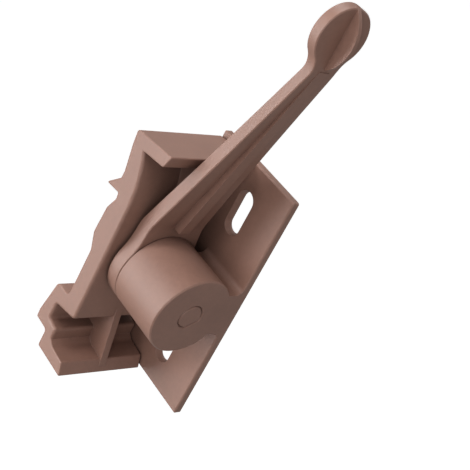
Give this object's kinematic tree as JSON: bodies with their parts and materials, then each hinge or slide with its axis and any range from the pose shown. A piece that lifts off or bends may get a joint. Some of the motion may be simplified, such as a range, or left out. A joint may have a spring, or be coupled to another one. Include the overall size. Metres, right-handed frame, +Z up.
{
  "type": "roller shutter lock",
  "caption": "Wall-mounted lock for a roller shutter: half a turn of its cranked lever slides a profiled jaw against the shutter's slats.",
  "frame": {"origin": "the middle of the wall plate's back face, level with the barrel's axis", "axes": "+X along the barrel, away from the shutter; +Y into the wall; +Z up along the plate's long side"},
  "size_m": [0.0343, 0.0254, 0.1078],
  "materials": {
    "base_plastic": "satin brown moulded plastic",
    "lever_plastic": "satin brown moulded plastic",
    "jaw_plastic": "satin brown moulded plastic"
  },
  "bodies": {
    "base": {"base": "base_plastic"},
    "jaw": {"jaw": "jaw_plastic"},
    "lever": {"lever": "lever_plastic"}
  },
  "joints": [
    {"name": "jaw_slide", "type": "slide", "parent": "base", "child": "jaw", "axis": [-1, 0, 0], "range_m": [0, 0.0045]},
    {"name": "lever_turn", "type": "hinge", "parent": "jaw", "child": "lever", "pos_m": [0, -0.0135, 0], "axis": [1, 0, 0], "range_deg": [0, 180]}
  ],
  "couplings": [
    {"joint": "jaw_slide", "follows": "lever_turn", "m_per_rad": 0.0014324}
  ]
}
